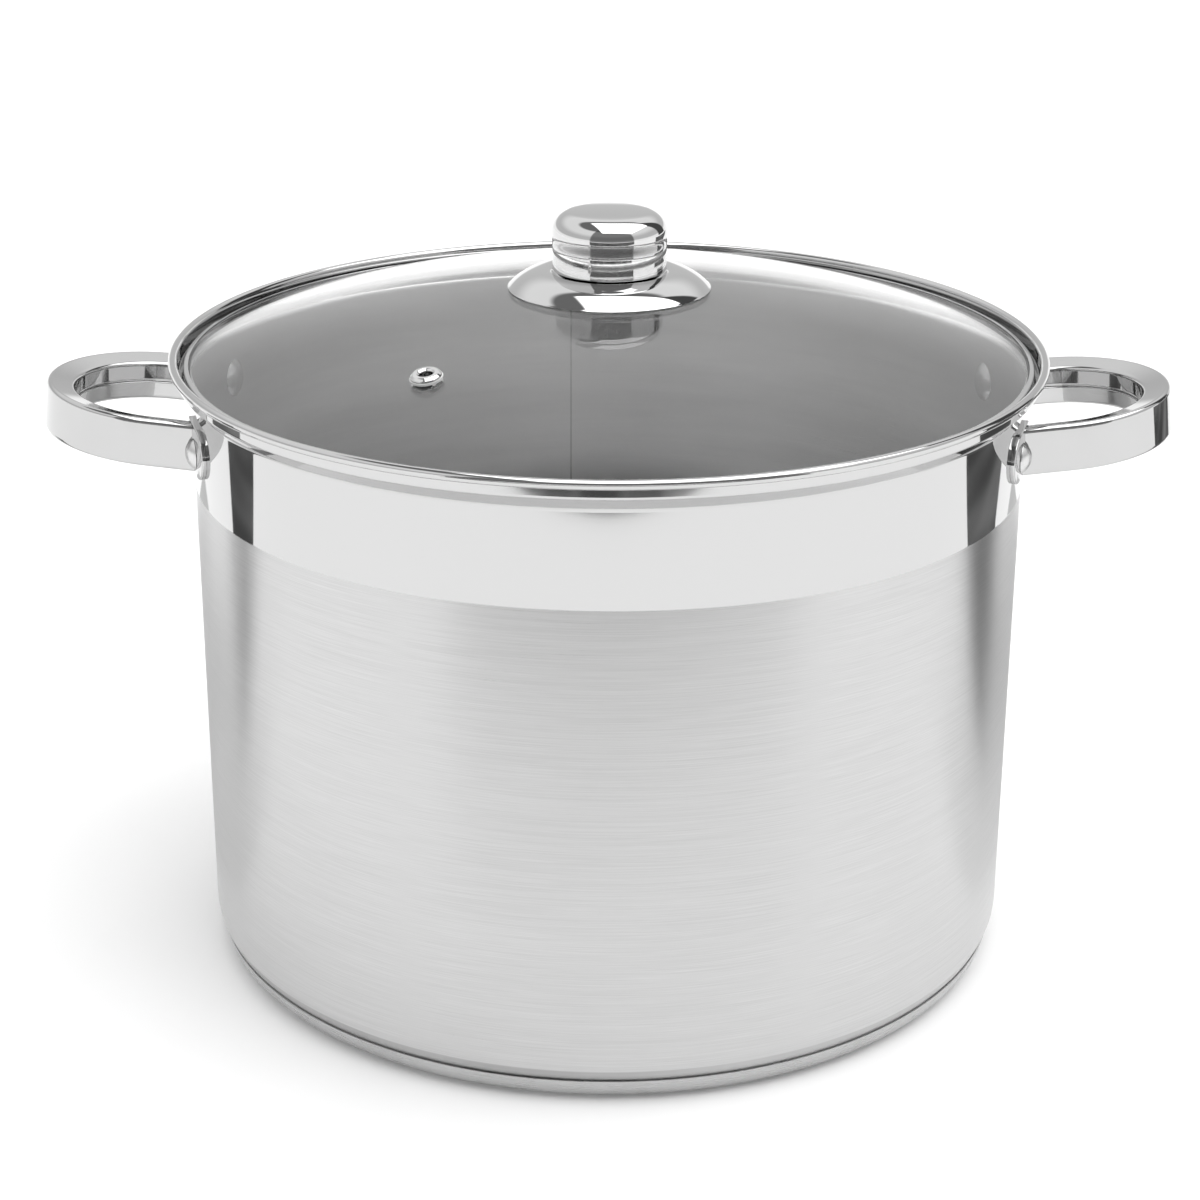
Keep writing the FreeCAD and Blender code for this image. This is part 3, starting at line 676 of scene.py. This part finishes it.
def glass_lid():
    """Both faces of the glass, joined by a wall at the outer edge and at each hole."""
    upper, faces, around, bore = pierced_dome(0.0)
    lower = pierced_dome(GLASS)[0]
    shift = len(upper)
    last = len(upper) - PATCH_RINGS * len(bore) - around
    walls = []
    for loop in (np.arange(around), last + np.arange(around), bore):
        ahead = np.roll(loop, -1)
        walls.append(np.stack([loop, ahead, ahead + shift, loop + shift], -1))
    every = np.concatenate([faces, faces[:, ::-1] + shift, *walls])
    return finished_mesh("lid_glass_dome", np.concatenate([upper, lower]) * MM, every,
                         recalculate=True)


def clear_glass():
    """Clear all through, with a trace of haze where hands have touched it."""
    material, finish = new_finish("lid_clear_glass")
    point = finish.point()
    smudge = finish.noise(point, (18, 18, 18), detail=4, roughness=0.6)
    finish.surface(Base_Color=grey(0.97), Transmission_Weight=1.0, IOR=1.5,
                   Roughness=finish.step(smudge, 0.55, 0.85) * 0.02)
    return material


lid_glass = glass_lid()
dress(lid_glass, "lid", "clear_glass", clear_glass(), "lid_glass")

# %% [markdown]
# ## The steel band of the lid
# A thin strip is rolled over the edge of the glass and closed on both faces. It takes the
# knocks, and it sits on the flare of the pot.

# %% Lid band
edge_top, edge_under = float(dome(152.2)), float(dome(152.2, GLASS))
band_outline = rounded([
    (151.3, float(dome(151.3)) + 0.03, 0.1),
    (152.25, edge_top + 0.03, 0.05),
    (152.25, edge_under - 0.03, 0.05),
    (149.4, float(dome(149.4, GLASS)) - 0.03, 0.1),
    (149.4, float(dome(149.4, GLASS)) - 0.55, 0.2),
    (153.1, 219.6, 0.9),
    (153.1, edge_top + 0.5, 0.9),
    (151.3, float(dome(151.3)) + 0.55, 0.22),
], steps=7, guard=0.05)
lid_band = mesh_piece("lid_band_rim", [turn(band_outline, 384)])
dress(lid_band, "lid", "polished_steel", band_steel, "lid_band")

# %% [markdown]
# ## The steam vent
# A flared steel eyelet is set in the glass on a soft ring. It leans with the glass, so its
# axis is the dome's own normal there: the line from the middle of the sphere.

# %% Vent eyelet
vent_foot = VENT_OUT * np.array([math.cos(VENT_TURN), math.sin(VENT_TURN), 0])
vent_foot[2] = dome(VENT_OUT)
vent_axis = vent_foot - np.array([0, 0, DOME_TOP - DOME])
UNDER = -GLASS - 0.8
eyelet_outline = rounded([
    (2.35, UNDER - 1.3, 0.25), (4.1, UNDER - 1.3, 0.3), (4.1, UNDER - 0.6, 0.2),
    (3.5, UNDER, 0.05), (3.5, 0.8, 0.05), (5.4, 0.8, 0.2), (5.35, 1.5, 0.5), (4.4, 2.35, 0.8),
    (3.1, 2.4, 0.5), (2.35, 1.7, 0.4)], steps=6, guard=0.05)
eyelet = mesh_piece("vent_eyelet_ring", [place(turn(eyelet_outline, 72), vent_foot, vent_axis)])
dress(eyelet, "lid", "polished_steel", band_steel, "vent_eyelet")

# %% [markdown]
# ## The knob
# The knob is built like the real one: a pressed skirt on the glass, with a well and a crest
# around it, a bowl that sits in the well, and a drawn cap over the bowl. The cap ends just above
# the crest and leaves a thin dark gap. A screw from below clamps all of it through the glass.

# %% Knob skirt, bowl and cap
CREST, CREST_TOP, CREST_ROUND = 22.0, 255.0, 1.8
WELL_START, WELL_FLOOR, WELL_ROUND = 13.647, 251.1, 9.122
CREST_TURN = 49.9           # degrees from the top of the crest to the well
FALL_ROUND = 20.29          # from the crest down to the glass
CAP_WALL, CAP_SHOULDER, CAP_CORNER = 20.52, 268.8, 7.5


def pressed_skirt(inset):
    """Upper face of the skirt, moved in by a part of the sheet.

    Three circles that share their tangents: well, crest and the long fall to the glass.
    """
    well = circle((WELL_START, WELL_FLOOR + WELL_ROUND), WELL_ROUND + inset,
                  270, 270 + CREST_TURN, 16)
    crest = circle((CREST, CREST_TOP - CREST_ROUND), CREST_ROUND - inset,
                   90 + CREST_TURN, 90, 10)
    fall = circle((CREST, CREST_TOP - FALL_ROUND), FALL_ROUND - inset,
                  90, 45.0 + inset * 1.5, 40)
    return np.concatenate([[(GLASS_HOLE, WELL_FLOOR - inset)], well, crest[1:], fall[1:]])


top_face, back_face = pressed_skirt(0.0), pressed_skirt(SHEET)
rim = np.array([(36.58, 248.86), (36.3, 248.8), (35.6, 248.8), (35.45, 248.86)])
top_face = top_face[top_face[:, 1] > 249.05]
back_face = back_face[back_face[:, 1] > 249.05]
skirt = mesh_piece("knob_skirt_dish", [turn(np.concatenate([
    top_face, [(36.46, 248.98)], rim, back_face[::-1]]), 200)])
dress(skirt, "lid", "polished_steel", knob_steel, "knob_skirt")
bowl_outline = rounded([
    (2.5, 251.1, 0.05), *arc((12.0, 260.63), 9.53, -90, -36, 14), (19.9, 255.6, 0.3),
    (19.9, 258.0, 0.3), (19.1, 258.0, 0.3), (19.1, 255.6, 0.3),
    *arc((12.0, 260.63), 8.73, -38, -90, 12), (2.5, 251.9, 0.05)], steps=5)
bowl = mesh_piece("knob_bowl_dish", [turn(bowl_outline, 128)])
dress(bowl, "lid", "polished_steel", knob_steel, "knob_bowl")


def drawn_cap(inset):
    """Half of the cap's section, from its lower edge over a slight waist up to the crown."""
    height = np.linspace(255.6, CAP_SHOULDER, 40)
    ease = np.clip((height - 263.0) / 5.8, 0, 1)
    wall = np.column_stack([CAP_WALL + 0.38 * ease ** 2 * (3 - 2 * ease) - inset, height])
    corner = circle((CAP_WALL + 0.38 - CAP_CORNER, CAP_SHOULDER), CAP_CORNER - inset, 0, 85, 26)
    across = np.linspace(corner[-1, 0], 0, 20)[1:]
    crown = np.column_stack([across, 276.88 - inset - across ** 2 / 345])
    return np.concatenate([wall, corner[1:], crown])


cap_knob_outline = np.concatenate([
    circle((20.27, 255.55), 0.25, 270, 350, 6), drawn_cap(0.0),
    drawn_cap(SHEET)[::-1], circle((19.92, 255.5), 0.2, 190, 270, 5)])
knob_cap = mesh_piece("knob_cap_shell", [turn(cap_knob_outline, 200)])
dress(knob_cap, "lid", "polished_steel", knob_steel, "knob_cap")

# %% [markdown]
# ## Small parts that stay as the CAD made them
# Gaskets, washers, the insert and the screw are simple turned shapes and already right, so
# they only need their finishes: white silicone and plain plated steel.


# %% Silicone and plated steel
def silicone():
    """A milky rubber with a fine grain."""
    material, finish = new_finish("white_silicone")
    fine = finish.noise(finish.point(), (900, 900, 900), detail=3)
    finish.surface(
        Base_Color=finish.blend(fine, grey(0.70), grey(0.82)),
        Roughness=(fine - 0.5) * 0.15 + 0.45, Normal=finish.bump(fine, 0.1, 0.0002))
    return material


soft_white = silicone()
plated = satin_steel("plated_steel", 0.55, 0.30, (1200, 1200, 1200), 0.0)
for node, finish in (("vent_seal", soft_white), ("vent_washer", rivet_steel),
                     ("knob_gasket", soft_white), ("knob_insert", plated),
                     ("under_gasket", soft_white), ("knob_washer", plated),
                     ("spring_washer", plated), ("knob_screw", plated)):
    coat(node, finish)
print("carried-over parts finished")

# %% [markdown]
# ## Studio
# Polished steel shows the room more than itself, so the room is part of the look: a pale floor
# without an edge, a square soft light overhead, a room that is darker in front, and a light
# backdrop. Dark sheets on the floor, which only mirrors see, draw the dark strips on the
# polished band: without them the band would look like plain paint.


# %% Floor
def disc(name, radius, height, steps=96):
    """A flat round sheet: one ring of points and one face."""
    angle = np.linspace(0, 2 * math.pi, steps, endpoint=False)
    points = np.column_stack([radius * np.cos(angle), radius * np.sin(angle),
                              np.full(steps, height)])
    mesh = bpy.data.meshes.new(name)
    mesh.from_pydata(points, [], [list(range(steps))])
    sheet = bpy.data.objects.new(name, mesh)
    bpy.context.scene.collection.objects.link(sheet)
    return sheet


FLOOR_RADIUS = 14.0
floor = disc("floor", FLOOR_RADIUS, 0.0)
floor_paint, finish = new_finish("floor_paint")
finish.surface(Base_Color=grey(0.88), Roughness=0.9, Emission_Color=grey(1.0),
               Emission_Strength=0.10)
floor.data.materials.append(floor_paint)
print("floor radius:", FLOOR_RADIUS, "m")


# %% Sheets that only mirrors see
def flag(name, corners, height=0.0005):
    """A sheet just above the floor that only mirrors see."""
    mesh = bpy.data.meshes.new(name)
    mesh.from_pydata([(x, y, height) for x, y in corners], [], [list(range(len(corners)))])
    sheet = bpy.data.objects.new(name, mesh)
    bpy.context.scene.collection.objects.link(sheet)
    sheet.visible_camera = sheet.visible_diffuse = sheet.visible_shadow = False
    return sheet


dark, finish = new_finish("dark_felt")
folds = finish.noise(finish.point(), (6, 1.5, 1), detail=2)
finish.surface(Base_Color=finish.blend(finish.step(folds, 0.4, 0.75), grey(0.03), grey(0.22)),
               Roughness=0.95)
for name, corners in (
        ("gap_right", [(0.302, 0.077), (0.709, 0.153), (3.5, 0.75), (3.3, 4.5), (0.52, 0.291)]),
        ("gap_left", [(-0.321, 0.042), (-0.566, 0.222), (-0.75, 0.36), (-0.95, 0.19),
                      (-0.709, 0.133)]),
        ("gap_front", [(-0.615, -0.76), (-3.9, -4.8), (5.5, -4.8), (0.874, -0.76)])):
    flag(name, corners).data.materials.append(dark)
# A grey sheet just above the floor behind the pot, seen only in mirrors: a painted shadow of the
# pot on the floor, darker towards the back.
painted_shadow, finish = new_finish("painted_shadow_grey")
behind = finish.add("ShaderNodeSeparateXYZ", {}, [finish.point()], output="Y")
finish.surface(Base_Color=finish.blend(finish.step(behind, -0.02, 0.22), grey(0.80), grey(0.50)),
               Roughness=0.9)
near = flag("shade_behind", [(0.19, -0.02), (0.40, -0.02), (0.46, 0.45), (-0.46, 0.45),
                             (-0.40, -0.02), (-0.19, -0.02), (-0.14, 0.16), (0.14, 0.16)], 0.0003)
near.data.materials.append(painted_shadow)

# %% Sky of the studio
world = bpy.data.worlds.new("studio")
bpy.context.scene.world = world
world.use_nodes = True
sky = Finish(world.node_tree)
way = sky.add("ShaderNodeTexCoord", output="Generated")
ahead, aside, up = (sky.add("ShaderNodeSeparateXYZ", {}, [way], output=name)
                    for name in ("Y", "X", "Z"))
around = sky.add("ShaderNodeMath", {"operation": "ARCTAN2"}, [aside, 0.0 - ahead])
around = around * (180 / math.pi)          # 0 at the front, +90 at the right
rise = up.math("ARCSINE") * (180 / math.pi)


def window(value, low, high, soft):
    """1 between two limits and 0 outside, with soft edges."""
    return sky.step(value, low - soft, low + soft) * sky.step(value, high - soft, high + soft,
                                                            1.0, 0.0)


dark_part = window(around, -39, 49, 2) * 0.8 + window(around, 112, 135, 2)
level = sky.step(rise, 18, 36, 0.58, 0.92) + sky.step(rise, 4, 8, 0.55, 0.0)
room = (1 - dark_part) * level * sky.step(rise, 51, 57, 1.0, 0.12)
steep = up.math("MAXIMUM", 0.05)
overhead = window(aside.math("DIVIDE", steep), -0.28, 1.0, 0.03)
overhead = overhead * window(ahead.math("DIVIDE", steep), -0.84, 0.44, 0.03) * 3.05
overhead = overhead * sky.step(rise, 20, 24)
radiance = room * (1 - overhead.math("MINIMUM", 1.0)) + overhead + 0.08
seen = sky.add("ShaderNodeLightPath", output="Is Camera Ray")
strength = seen * 1.0 + (1 - seen) * radiance
background = sky.add("ShaderNodeBackground", {}, {"Color": (1, 1, 1, 1), "Strength": strength})
sky.add("ShaderNodeOutputWorld", {}, {"Surface": background})
print("studio sky:", len(world.node_tree.nodes), "nodes")

# %% [markdown]
# ## Camera
# A long lens from a little above, far enough for calm perspective.

# %% Camera
camera_data = bpy.data.cameras.new("camera")
camera_data.lens = 78.96
camera_data.sensor_width = 36.0
camera_data.shift_x = -0.00637
camera_data.clip_start = 0.05
camera = bpy.data.objects.new("camera", camera_data)
bpy.context.scene.collection.objects.link(camera)
ELEVATION, DISTANCE = math.radians(21.245), 0.992
target = Vector((0, 0, 0.127418))
camera.location = target + DISTANCE * Vector((0, -math.cos(ELEVATION), math.sin(ELEVATION)))
look = (target - camera.location).to_track_quat("-Z", "Y").to_matrix().to_4x4()
camera.matrix_world = (Matrix.Translation(camera.location) @ look
                       @ Matrix.Rotation(math.radians(0.306), 4, "Z"))
bpy.context.scene.camera = camera
bpy.context.scene.view_settings.view_transform = "Standard"
# Light crosses the glass and bounces many times between the walls of the pot.
bpy.context.scene.cycles.max_bounces = 16
bpy.context.scene.cycles.glossy_bounces = 8
bpy.context.scene.cycles.transmission_bounces = 12
print("camera at", tuple(round(c, 3) for c in camera.location))
